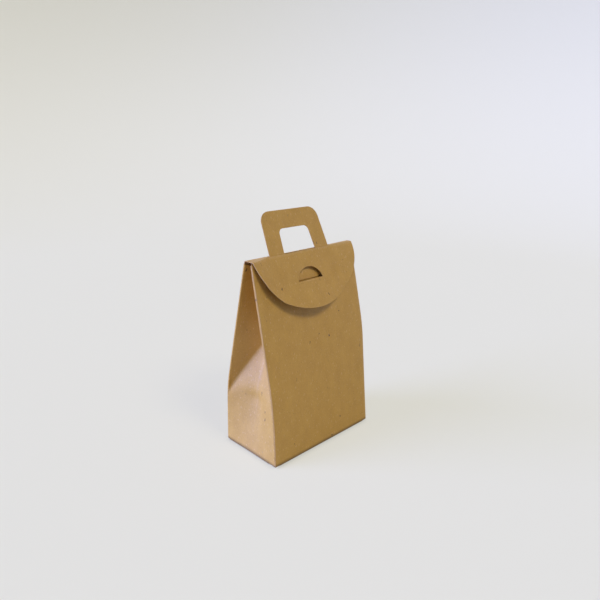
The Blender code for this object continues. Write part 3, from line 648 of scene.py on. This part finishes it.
def rearSheet(mesh, length):
    side = panelHalf
    level = hingeHeight - hingeLength
    flapEnd = level - base["rearDepth"]
    tabEnd = flapEnd - base["tabLength"]
    flapHalf = halfWidth - base["rearInset"]
    tipHalf = flapHalf - base["taper"]
    tabHalf = base["tabWidth"] / 2
    relief = tabHalf + base["reliefWidth"]
    reliefTop = flapEnd + base["reliefLength"]
    corner = base["reliefWidth"] / 4
    tabTip = tabHalf - base["tabTaper"]

    flapSide = [
        (side, hingeHeight, 0), (flapHalf, hingeHeight, 0), (tipHalf, flapEnd, base["reliefLength"]),
        (relief, flapEnd, corner), (relief, reliefTop, corner),
        (tabHalf, reliefTop, corner), (tabHalf, flapEnd, card["foldRadius"]),
        (tabTip, tabEnd, base["tabTaper"])]
    outline = path(flapSide + mirrored(flapSide), grid["row"])
    outline += [(-side, v) for v in wallRows]
    turns = [math.pi * k / flap["edgeSteps"] for k in range(flap["edgeSteps"] + 1)]
    edge = [(-side * math.cos(turn), ridge + float(flapEdge(-side * math.cos(turn)))) for turn in turns]
    outline += [(-side, v) for v in flapSideRows(-side, edge[0][1] - ridge)]
    outline += edge
    outline += [(side, v) for v in reversed(flapSideRows(side, edge[-1][1] - ridge))]
    outline += [(side, v) for v in reversed(wallRows[1:])]

    centreY, centreZ = creaseCentre(0.0)
    slitY = float(frontY(0.0, ridge)) + (centreZ + card["foldRadius"] - ridge) * math.tan(handleLean)
    slitAt = ridge + rearCreaseRun + float(centreY) - slitY
    slitReach = (card["layerGap"] + card["thickness"] / 2) / math.cos(handleLean)
    slitReach += card["thickness"] / 2 * math.tan(handleLean)
    slitHalf = handle["baseWidth"] / 2 + handle["slitSpare"]
    slitSide = [(-slitHalf, slitAt - slitReach, 0), (-slitHalf, slitAt + slitReach, 0)]
    slit = closed(slitSide + mirrored(slitSide), grid["flap"])
    hingeAt = ridge + creaseRows(0.0)[-1] + lock["drop"]
    moon = [(x, hingeAt - past) for x, past in halfMoon(0)]
    moon += [(x, hingeAt) for x, _ in chordPoints()]

    columns = rows(-side, side, grid["column"])
    near = rows(-side, side, grid["flap"])
    seeds = seedGrid(columns, wallRows[1:] + [ridge], grid["row"] * grid["clearance"])
    seeds += seedGrid(columns, [hingeHeight], 0.0)
    seeds += hingeSeeds(columns, base["rearDepth"])
    seeds += seedGrid(rows(-tabTip, tabTip, grid["row"]), rows(tabEnd, reliefTop, grid["flap"]),
                      card["foldRadius"])
    for x in near:
        bends = creaseRows(x)
        hang = rows(bends[-1], bends[-1] + flap["length"], grid["flap"])[1:]
        seeds += seedGrid([x], [ridge + v for v in bends], grid["creaseClearance"])
        seeds += seedGrid([x], [ridge + v for v in hang], grid["flap"] * grid["clearance"])

    def place(x, v):
        return 2 * panelHalf + 2 * length - x, v

    def creases(x, v):
        past = v - ridge
        turn = frontCreaseRun(x)
        rearLine = nearLine(np.maximum(np.abs(past - rearCreaseRun / 2) - rearCreaseRun / 4, 0.0))
        frontLine = nearLine(np.maximum(np.abs(past - rearCreaseRun - topRun(x) - turn / 2) - turn / 4, 0.0))
        corner = nearLine(np.abs(x) - panelHalf) * ((v > hingeHeight) & (v < ridge))
        return np.maximum.reduce([rearLine, frontLine, corner])

    addSheet(mesh, outline, [slit, moon], seeds, foldRear, place, creases)
    return hingeAt


def tongueSheet(mesh, length, hingeAt):
    outline = chordPoints() + halfMoon(card["glueGap"])
    across = rows(-lock["width"] / 2, lock["width"] / 2, grid["flap"] / 2)
    seeds = seedGrid(across, rows(0.0, lock["height"], card["foldRadius"])[1:], card["foldRadius"] / 2)

    def place(x, v):
        return 2 * panelHalf + 2 * length - x, hingeAt - v

    addSheet(mesh, outline, [], seeds, foldTongue, place, lambda x, v: nearLine(v), onBody=False)


def gussetSheet(mesh, side, glueTab, start):
    frontOffset = card["thickness"] + card["glueGap"] if glueTab else 0.0
    table = gussetTable(side, frontOffset)
    length = table[0]
    level = hingeHeight - hingeLength
    flapEnd = level - base["sideDepth"]
    frontRoot = base["sideFrontInset"]
    rearRoot = 2 * length - base["sideRearInset"]
    notch = gussetTop - gusset["notch"]
    steps = grid["creaseSteps"]

    arc = [card["foldRadius"] * math.pi / steps * k for k in range(steps + 1)]
    crease = gusset["creaseSoftness"]
    face = rows(arc[-1], length - crease, grid["gussetColumn"])[1:]
    centre = [length - crease * k / gusset["centreSteps"] for k in reversed(range(gusset["centreSteps"]))]
    half = arc + face + centre
    columns = half + [2 * length - u for u in reversed(half[:-1])]

    outline = [(u, hingeHeight) for u in reversed(columns) if u > rearRoot]
    outline += path([
        (rearRoot, hingeHeight, 0), (rearRoot - base["sideTaper"], flapEnd, base["reliefLength"]),
        (frontRoot + base["sideTaper"], flapEnd, base["reliefLength"]), (frontRoot, hingeHeight, 0)],
        grid["row"])
    outline += [(frontRoot, hingeHeight)]
    outline += [(u, hingeHeight) for u in reversed(columns) if u < frontRoot]
    if glueTab:
        foot = hingeHeight + gusset["tabMargin"]
        outline += path([
            (0.0, foot, 0), (-gusset["tabWidth"], foot + gusset["tabTaper"], 0),
            (-gusset["tabWidth"], notch - gusset["tabTaper"], 0), (0.0, notch, 0), (0.0, gussetTop, 0)],
            grid["row"])
    else:
        outline += [(0.0, v) for v in wallRows[1:-1]]
    outline += [(u, gussetTop - gusset["notch"] * (1 - abs(u / length - 1))) for u in columns]
    outline += [(2 * length, v) for v in reversed(wallRows[1:-1])]

    seeds = seedGrid(columns, wallRows[1:], card["foldRadius"] / 4)
    if glueTab:
        tabColumns = rows(-gusset["tabWidth"], 0.0, grid["column"])[1:-1]
        seeds += seedGrid(tabColumns, wallRows[1:], card["foldRadius"])
    seeds += seedGrid(columns, [hingeHeight], 0.0)
    seeds += hingeSeeds(columns, base["sideDepth"])

    def place(u, v):
        return start + (u if side > 0 else 2 * length - u), v

    def creases(u, v):
        fold = np.minimum(u, 2 * length - u)
        rise = gusset["flatApex"] - gusset["flatFoot"]
        climb = (v - gusset["flatFoot"]) / rise
        slanting = np.abs(fold - length * climb) * rise / math.hypot(length, rise)
        onFlat = nearLine(slanting) * ((climb > 0) & (climb < gusset["wornPast"]))
        middle = nearLine(length - fold) * smoothStep((v - gusset["wornStart"]) / gusset["wornRise"])
        return np.maximum.reduce([nearLine(fold) * (v > hingeHeight), onFlat, middle])

    addSheet(mesh, outline, [], seeds, gussetFold(side, frontOffset, table), place, creases)
    return length


def foldBag():
    mesh = bmesh.new()
    mesh.verts.layers.float_vector.new("blank")
    mesh.verts.layers.float.new("crease")
    mesh.verts.layers.float.new("edgeGap")
    mesh.verts.layers.float.new("baseFold")
    rightLength = gussetSheet(mesh, 1, False, panelHalf)
    hingeAt = rearSheet(mesh, rightLength)
    tongueSheet(mesh, rightLength, hingeAt)
    gussetSheet(mesh, -1, True, 3 * panelHalf + 2 * rightLength)
    frontSheet(mesh)
    bmesh.ops.remove_doubles(mesh, verts=mesh.verts, dist=grid["weld"])
    bmesh.ops.recalc_face_normals(mesh, faces=mesh.faces)
    foremost = min(mesh.faces, key=lambda face: face.calc_center_median().y)
    if foremost.normal.y > 0:
        bmesh.ops.reverse_faces(mesh, faces=mesh.faces)
    data = bpy.data.meshes.new("foldedCard")
    mesh.to_mesh(data)
    mesh.free()
    print("card folded:", len(data.vertices), "points,", len(data.polygons), "triangles")
    return data


def thicken(data):
    piece = bpy.data.objects.new("foldedCard", data)
    bpy.context.scene.collection.objects.link(piece)
    thick = piece.modifiers.new("thickness", "SOLIDIFY")
    thick.thickness = card["thickness"]
    thick.offset = 0.0
    thick.use_even_offset = False
    thick.use_quality_normals = True
    thick.material_offset = 1
    thick.material_offset_rim = 2
    data.materials.append(kraftFace("kraft card outside", kraft["outside"]))
    data.materials.append(kraftFace("kraft card inside", kraft["inside"]))
    data.materials.append(cutEdge("kraft card cut edge", kraft["edge"]))
    shown = piece.evaluated_get(bpy.context.evaluated_depsgraph_get())
    solid = bpy.data.meshes.new_from_object(shown)
    piece.modifiers.clear()
    piece.data = solid
    solid.polygons.foreach_set("use_smooth", [True] * len(solid.polygons))
    solid.set_sharp_from_angle(angle=card["sharpAngle"])
    print("card thickened:", len(solid.polygons), "faces")
    return piece


# Kraft card

kraft = {
    "outside": {"light": (0.59, 0.34, 0.066, 1), "dark": (0.475, 0.26, 0.042, 1),
                "roughness": 0.63, "specular": 0.65, "grain": 0.5, "grainDepth": 0.03 * mm},
    "inside": {"light": (0.54, 0.34, 0.13, 1), "dark": (0.43, 0.26, 0.09, 1),
               "roughness": 0.78, "specular": 0.3, "grain": 0.5, "grainDepth": 0.03 * mm},
    "edge": {"light": (0.54, 0.33, 0.12, 1), "dark": (0.40, 0.23, 0.075, 1),
             "roughness": 0.9, "grain": 0.8, "grainDepth": 0.05 * mm},
    "fleck": (0.12, 0.055, 0.018, 1),
    "thread": (0.78, 0.56, 0.30, 1),
}

fibreLook = {
    "clouds": {"stretch": (1.0, 0.55, 1.0), "scale": 130.0, "detail": 3.0, "roughness": 0.55},
    "streaks": {"stretch": (1.0, 0.09, 1.0), "scale": 900.0, "detail": 3.0, "roughness": 0.6},
    "fibres": {"stretch": (1.0, 0.16, 1.0), "scale": 3600.0, "detail": 3.0, "roughness": 0.6},
    "cross": {"stretch": (0.2, 1.0, 1.0), "scale": 3000.0, "detail": 2.0, "roughness": 0.6},
    "toneShares": {"clouds": 0.28, "streaks": 0.14, "fibres": 0.36, "cross": 0.22},
    "toneRange": (0.34, 0.66),
    "heightShares": {"fibres": 0.6, "cross": 0.4, "clouds": 0.5},
    "sheenRange": (0.3, 0.7),
    "sheenSwing": 0.05,
}

specks = {
    "scale": 300.0,
    "stretch": (1.0, 0.6, 1.0),
    "bend": 2.2 * mm,            # by which a noise wobbles the cells
    "bendScale": 500.0,
    "bendDetail": 1.0,
    "chosen": (0.80, 0.86),      # of the cells' random red, so about one in six has a speck
    "sizeFrom": 0.2,
    "size": (0.06, 0.21),        # of a cell
    "darkness": (0.4, 0.95),
}

pepper = {"stretch": (1.0, 1.0, 1.0), "scale": 1300.0, "detail": 1.0, "roughness": 0.4,
          "range": (0.66, 0.76), "strength": 0.42}

threads = {"stretch": (1.0, 0.35, 1.0), "scale": 1100.0, "detail": 1.0, "roughness": 0.3,
           "range": (0.66, 0.74), "strength": 0.32}

wearAndPaintedLight = {
    # Pale colour along creases and cut edges: worn card, partly a painted highlight
    "colour": (0.70, 0.50, 0.27, 1),
    "crease": 0.26,
    "breakUp": {"stretch": (1.0, 1.0, 1.0), "scale": 700.0, "detail": 3.0, "roughness": 0.6},
    "breakRange": (0.35, 0.65),
    "breakLeast": 0.25,
    "rim": 0.05,
    "rimReach": 1.2 * mm,
    "baseShadeColour": (0.07, 0.03, 0.012, 1),
    "baseShade": 0.8,                # painted shade, at the fold under the base
}


def addNode(tree, kind, values=None, **settings):
    node = tree.nodes.new(kind)
    for name, value in settings.items():
        setattr(node, name, value)
    for name, value in (values or {}).items():
        node.inputs[name].default_value = value
    return node


def makeGroup(name, inputs, outputs):
    group = bpy.data.node_groups.new(name, "ShaderNodeTree")
    for direction, sockets in (("INPUT", inputs), ("OUTPUT", outputs)):
        for socketName, kind in sockets.items():
            group.interface.new_socket(name=socketName, in_out=direction, socket_type="NodeSocket" + kind)
    return group, group.nodes.new("NodeGroupInput"), group.nodes.new("NodeGroupOutput")


def fill(tree, sockets, values):
    # A value is another node's output, or a plain number or colour.
    for socket, value in zip(sockets, values):
        if hasattr(value, "is_linked"):
            tree.links.new(value, socket)
        else:
            socket.default_value = value


def mathNode(tree, operation, first, second):
    node = addNode(tree, "ShaderNodeMath", operation=operation)
    fill(tree, node.inputs, (first, second))
    return node.outputs[0]


def rangeNode(tree, value, low, high, toLow=0.0, toHigh=1.0):
    limits = {"From Min": low, "From Max": high, "To Min": toLow, "To Max": toHigh}
    node = addNode(tree, "ShaderNodeMapRange", limits, interpolation_type="SMOOTHSTEP")
    tree.links.new(value, node.inputs["Value"])
    return node.outputs["Result"]


def stretched(tree, place, scale):
    node = addNode(tree, "ShaderNodeMapping", {"Scale": scale})
    tree.links.new(place, node.inputs["Vector"])
    return node.outputs["Vector"]


def noise(tree, place, look):
    values = {"Scale": look["scale"], "Detail": look["detail"], "Roughness": look["roughness"]}
    node = addNode(tree, "ShaderNodeTexNoise", values)
    tree.links.new(stretched(tree, place, look["stretch"]), node.inputs["Vector"])
    return node.outputs["Fac"]


def mixColour(tree, factor, first, second):
    node = addNode(tree, "ShaderNodeMix", data_type="RGBA")
    fill(tree, (node.inputs[0], node.inputs[6], node.inputs[7]), (factor, first, second))
    return node.outputs[2]


def weighted(tree, parts, shares):
    total = 0.0
    for name, share in shares.items():
        total = mathNode(tree, "ADD", total, mathNode(tree, "MULTIPLY", parts[name], share))
    return total


def speckMask(tree, place):
    # Dark bark specks, each a short sliver at its own angle
    values = {"Scale": specks["bendScale"], "Detail": specks["bendDetail"]}
    bend = addNode(tree, "ShaderNodeTexNoise", values)
    tree.links.new(place, bend.inputs["Vector"])
    wobble = addNode(tree, "ShaderNodeVectorMath", operation="MULTIPLY_ADD")
    reach = (specks["bend"], specks["bend"], 0.0)
    fill(tree, wobble.inputs, (bend.outputs["Color"], reach, stretched(tree, place, specks["stretch"])))
    cells = addNode(tree, "ShaderNodeTexVoronoi", {"Scale": specks["scale"]}, feature="F1")
    tree.links.new(wobble.outputs[0], cells.inputs["Vector"])
    spread = addNode(tree, "ShaderNodeSeparateColor")
    tree.links.new(cells.outputs["Color"], spread.inputs["Color"])
    chosen = rangeNode(tree, spread.outputs["Red"], *specks["chosen"])
    size = rangeNode(tree, spread.outputs["Green"], specks["sizeFrom"], 1.0, *specks["size"])
    mask = mathNode(tree, "LESS_THAN", cells.outputs["Distance"], size)
    mask = mathNode(tree, "MULTIPLY", mask, chosen)
    darkness = rangeNode(tree, spread.outputs["Blue"], 0.0, 1.0, *specks["darkness"])
    return mathNode(tree, "MULTIPLY", mask, darkness)


def fibreGroup():
    # Pulp clouds, long fibres, specks, fine pepper and pale threads. The place is the spot
    # on the flat blank, in metres.
    tree, given, out = makeGroup(
        "kraft fibre", {"Place": "Vector", "Light": "Color", "Dark": "Color", "Fleck": "Color"},
        {"Color": "Color", "Height": "Float", "Roughness": "Float"})
    place = given.outputs["Place"]
    layers = {name: noise(tree, place, fibreLook[name]) for name in fibreLook["toneShares"]}
    tone = rangeNode(tree, weighted(tree, layers, fibreLook["toneShares"]), *fibreLook["toneRange"])
    colour = mixColour(tree, tone, given.outputs["Dark"], given.outputs["Light"])
    colour = mixColour(tree, speckMask(tree, place), colour, given.outputs["Fleck"])
    for look, paint in ((pepper, given.outputs["Fleck"]), (threads, kraft["thread"])):
        mask = rangeNode(tree, noise(tree, place, look), *look["range"])
        colour = mixColour(tree, mathNode(tree, "MULTIPLY", mask, look["strength"]), colour, paint)
    swing = fibreLook["sheenSwing"]
    sheen = rangeNode(tree, layers["streaks"], *fibreLook["sheenRange"], -swing, swing)
    tree.links.new(colour, out.inputs["Color"])
    tree.links.new(weighted(tree, layers, fibreLook["heightShares"]), out.inputs["Height"])
    tree.links.new(sheen, out.inputs["Roughness"])
    return tree


def wearAndPaintedLightGroup():
    # Pale wear along creases and cut edges, partly a painted highlight, and painted shade as the dark line
    # where the base folds under
    tree, given, out = makeGroup(
        "kraft wear and painted light", {"Color": "Color", "Place": "Vector", "Crease": "Float", "Edge Gap": "Float",
                       "Base Fold": "Float"}, {"Color": "Color"})
    broken = noise(tree, given.outputs["Place"], wearAndPaintedLight["breakUp"])
    broken = rangeNode(tree, broken, *wearAndPaintedLight["breakRange"], wearAndPaintedLight["breakLeast"], 1.0)
    crease = mathNode(tree, "MULTIPLY", given.outputs["Crease"], broken)
    rim = rangeNode(tree, given.outputs["Edge Gap"], 0.0, wearAndPaintedLight["rimReach"], 1.0, 0.0)
    colour = given.outputs["Color"]
    # Creases and rims get pale wear that is partly a painted highlight; the base fold gets painted shade.
    coats = ((crease, wearAndPaintedLight["crease"], wearAndPaintedLight["colour"]), (rim, wearAndPaintedLight["rim"], wearAndPaintedLight["colour"]),
             (given.outputs["Base Fold"], wearAndPaintedLight["baseShade"], wearAndPaintedLight["baseShadeColour"]))
    for mask, strength, paint in coats:
        colour = mixColour(tree, mathNode(tree, "MULTIPLY", mask, strength), colour, paint)
    tree.links.new(colour, out.inputs["Color"])
    return tree


fibre = fibreGroup()
wornAndPaintedLight = wearAndPaintedLightGroup()


def startMaterial(name, look):
    material = bpy.data.materials.new(name)
    material.use_nodes = True
    tree = material.node_tree
    shader = tree.nodes["Principled BSDF"]
    place = addNode(tree, "ShaderNodeAttribute", attribute_name="blank").outputs["Vector"]
    values = {"Light": look["light"], "Dark": look["dark"], "Fleck": kraft["fleck"]}
    group = addNode(tree, "ShaderNodeGroup", node_tree=fibre)
    for socketName, value in values.items():
        group.inputs[socketName].default_value = value
    tree.links.new(place, group.inputs["Place"])
    bump = addNode(tree, "ShaderNodeBump", {"Strength": look["grain"], "Distance": look["grainDepth"]})
    tree.links.new(group.outputs["Height"], bump.inputs["Height"])
    tree.links.new(bump.outputs["Normal"], shader.inputs["Normal"])
    return material, tree, shader, place, group


def kraftFace(name, look):
    material, tree, shader, place, group = startMaterial(name, look)
    used = addNode(tree, "ShaderNodeGroup", node_tree=wornAndPaintedLight)
    tree.links.new(group.outputs["Color"], used.inputs["Color"])
    tree.links.new(place, used.inputs["Place"])
    for attribute, socketName in (("crease", "Crease"), ("edgeGap", "Edge Gap"), ("baseFold", "Base Fold")):
        kept = addNode(tree, "ShaderNodeAttribute", attribute_name=attribute)
        tree.links.new(kept.outputs["Fac"], used.inputs[socketName])
    tree.links.new(used.outputs["Color"], shader.inputs["Base Color"])
    rough = mathNode(tree, "ADD", group.outputs["Roughness"], look["roughness"])
    tree.links.new(rough, shader.inputs["Roughness"])
    shader.inputs["Specular IOR Level"].default_value = look["specular"]
    return material


def cutEdge(name, look):
    material, tree, shader, _, group = startMaterial(name, look)
    tree.links.new(group.outputs["Color"], shader.inputs["Base Color"])
    shader.inputs["Roughness"].default_value = look["roughness"]
    return material


bag = thicken(foldBag())
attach(bag, "root")
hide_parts("paper_bag")
print("bag placed")


# Studio: a pale floor that curves up into a round backdrop

studio = {
    "flatRadius": 0.75,
    "flatRings": 12,
    "curveRadius": 1.1,
    "curveRings": 24,
    "wallHeight": 1.7,
    "sides": 96,
    "floorColour": (0.44, 0.415, 0.32, 1),
    "floorRoughness": 0.95,
    "shadowShare": 0.45,         # of the floor's colour that shows, over an even glow
    "glow": 0.73,
    "floorGlow": (0.81, 0.805, 0.755, 1),
    "wallGlow": (0.64, 0.635, 0.575, 1),
    "wallStart": 0.02,           # heights between which the glow changes
    "wallFull": 0.9,
    "contactReach": 8 * mm,
    "contactGlow": 0.45,         # of the glow, left at the bag's lower edge: a painted contact shadow
    "contactClear": 0.9,
    "contactSamples": 8,
    "worldColour": (1.0, 0.90, 0.64, 1),
    "worldStrength": 0.17,
    "lamps": [
        {"name": "key", "colour": (0.82, 1.0, 2.4), "strength": 3.75,
         "angle": math.radians(40), "towards": (-0.80, 0.46, 0.36)},
        {"name": "fill", "colour": (1.0, 0.96, 0.74), "strength": 1.18,
         "angle": math.radians(16), "towards": (0.0, -0.60, 0.75)},
    ],
}


def backdropMaterial():
    # What the camera sees is an even glow with a share of the lit floor, so its shadow stays
    # as pale as the photo's. The bag is lit by the floor's full colour.
    material = bpy.data.materials.new("matt paper backdrop")
    material.use_nodes = True
    tree = material.node_tree
    shader = tree.nodes["Principled BSDF"]
    seen = addNode(tree, "ShaderNodeLightPath").outputs
    direct = mathNode(tree, "MAXIMUM", seen["Is Camera Ray"], seen["Is Glossy Ray"])
    direct = mathNode(tree, "MAXIMUM", direct, seen["Is Transmission Ray"])
    dimmed = [studio["shadowShare"] * value for value in studio["floorColour"][:3]] + [1]
    tree.links.new(mixColour(tree, direct, studio["floorColour"], dimmed), shader.inputs["Base Color"])

    height = addNode(tree, "ShaderNodeSeparateXYZ")
    tree.links.new(addNode(tree, "ShaderNodeNewGeometry").outputs["Position"], height.inputs["Vector"])
    wall = rangeNode(tree, height.outputs["Z"], studio["wallStart"], studio["wallFull"])
    even = mixColour(tree, wall, studio["floorGlow"], studio["wallGlow"])
    tree.links.new(even, shader.inputs["Emission Color"])
    # Ambient occlusion dims the glow where the bag meets the floor: a painted contact shadow.
    near = addNode(tree, "ShaderNodeAmbientOcclusion", {"Distance": studio["contactReach"]},
                   samples=studio["contactSamples"])
    contact = rangeNode(tree, near.outputs["AO"], 0.0, studio["contactClear"], studio["contactGlow"], 1.0)
    glow = mathNode(tree, "MULTIPLY", mathNode(tree, "MULTIPLY", direct, studio["glow"]), contact)
    tree.links.new(glow, shader.inputs["Emission Strength"])
    shader.inputs["Roughness"].default_value = studio["floorRoughness"]
    shader.inputs["Specular IOR Level"].default_value = 0.0
    return material


def makeBackdrop():
    flat, curve = studio["flatRadius"], studio["curveRadius"]
    outline = [(flat * k / studio["flatRings"], 0.0) for k in range(studio["flatRings"] + 1)]
    for k in range(1, studio["curveRings"] + 1):
        turn = math.pi / 2 * k / studio["curveRings"]
        outline.append((flat + curve * math.sin(turn), curve * (1 - math.cos(turn))))
    outline.append((outline[-1][0], studio["wallHeight"]))
    sides = studio["sides"]
    verts, faces = [], []
    for radius, height in outline:
        for side in range(sides):
            turn = 2 * math.pi * side / sides
            verts.append((radius * math.cos(turn), radius * math.sin(turn), height))
    for ring in range(len(outline) - 1):
        for side in range(sides):
            a, b = ring * sides + side, ring * sides + (side + 1) % sides
            faces.append((a, a + sides, b + sides, b))
    data = bpy.data.meshes.new("backdrop")
    data.from_pydata(verts, [], faces)
    data.validate()
    data.polygons.foreach_set("use_smooth", [True] * len(data.polygons))
    data.materials.append(backdropMaterial())
    backdrop = bpy.data.objects.new("backdrop", data)
    bpy.context.scene.collection.objects.link(backdrop)
    backdrop.visible_shadow = False


def makeLight():
    world = bpy.data.worlds.new("soft studio")
    bpy.context.scene.world = world
    world.use_nodes = True
    sky = world.node_tree.nodes["Background"]
    sky.inputs["Color"].default_value = studio["worldColour"]
    sky.inputs["Strength"].default_value = studio["worldStrength"]
    for lamp in studio["lamps"]:
        light = bpy.data.lights.new(lamp["name"], "SUN")
        light.color = lamp["colour"]
        light.energy = lamp["strength"]
        light.angle = lamp["angle"]
        placed = bpy.data.objects.new(lamp["name"], light)
        bpy.context.scene.collection.objects.link(placed)
        placed.rotation_euler = Vector(lamp["towards"]).to_track_quat("Z", "Y").to_euler()


makeBackdrop()
makeLight()
print("studio ready")


# Camera, fitted to the bag's corners in the photo

view = {
    "place": (-279.8 * mm, -276.5 * mm, 233.7 * mm),
    "lens": 33.84,
    "sensor": 36,
    "turn": math.radians(-45.1),
    "tilt": math.radians(17.9),
    "roll": math.radians(1.2),
    "nearest": 10 * mm,
}


def makeCamera():
    back = Vector((math.sin(view["turn"]) * math.cos(view["tilt"]),
                   -math.cos(view["turn"]) * math.cos(view["tilt"]), math.sin(view["tilt"])))
    right = back.cross(Vector((0, 0, -1))).normalized()
    up = back.cross(right)
    sine, cosine = math.sin(view["roll"]), math.cos(view["roll"])
    placed = Matrix((cosine * right + sine * up, cosine * up - sine * right, back)).transposed().to_4x4()
    placed.translation = view["place"]
    data = bpy.data.cameras.new("camera")
    data.lens = view["lens"]
    data.sensor_width = view["sensor"]
    data.clip_start = view["nearest"]
    camera = bpy.data.objects.new("camera", data)
    bpy.context.scene.collection.objects.link(camera)
    camera.matrix_world = placed
    bpy.context.scene.camera = camera


makeCamera()
bpy.context.scene.view_settings.view_transform = "Standard"
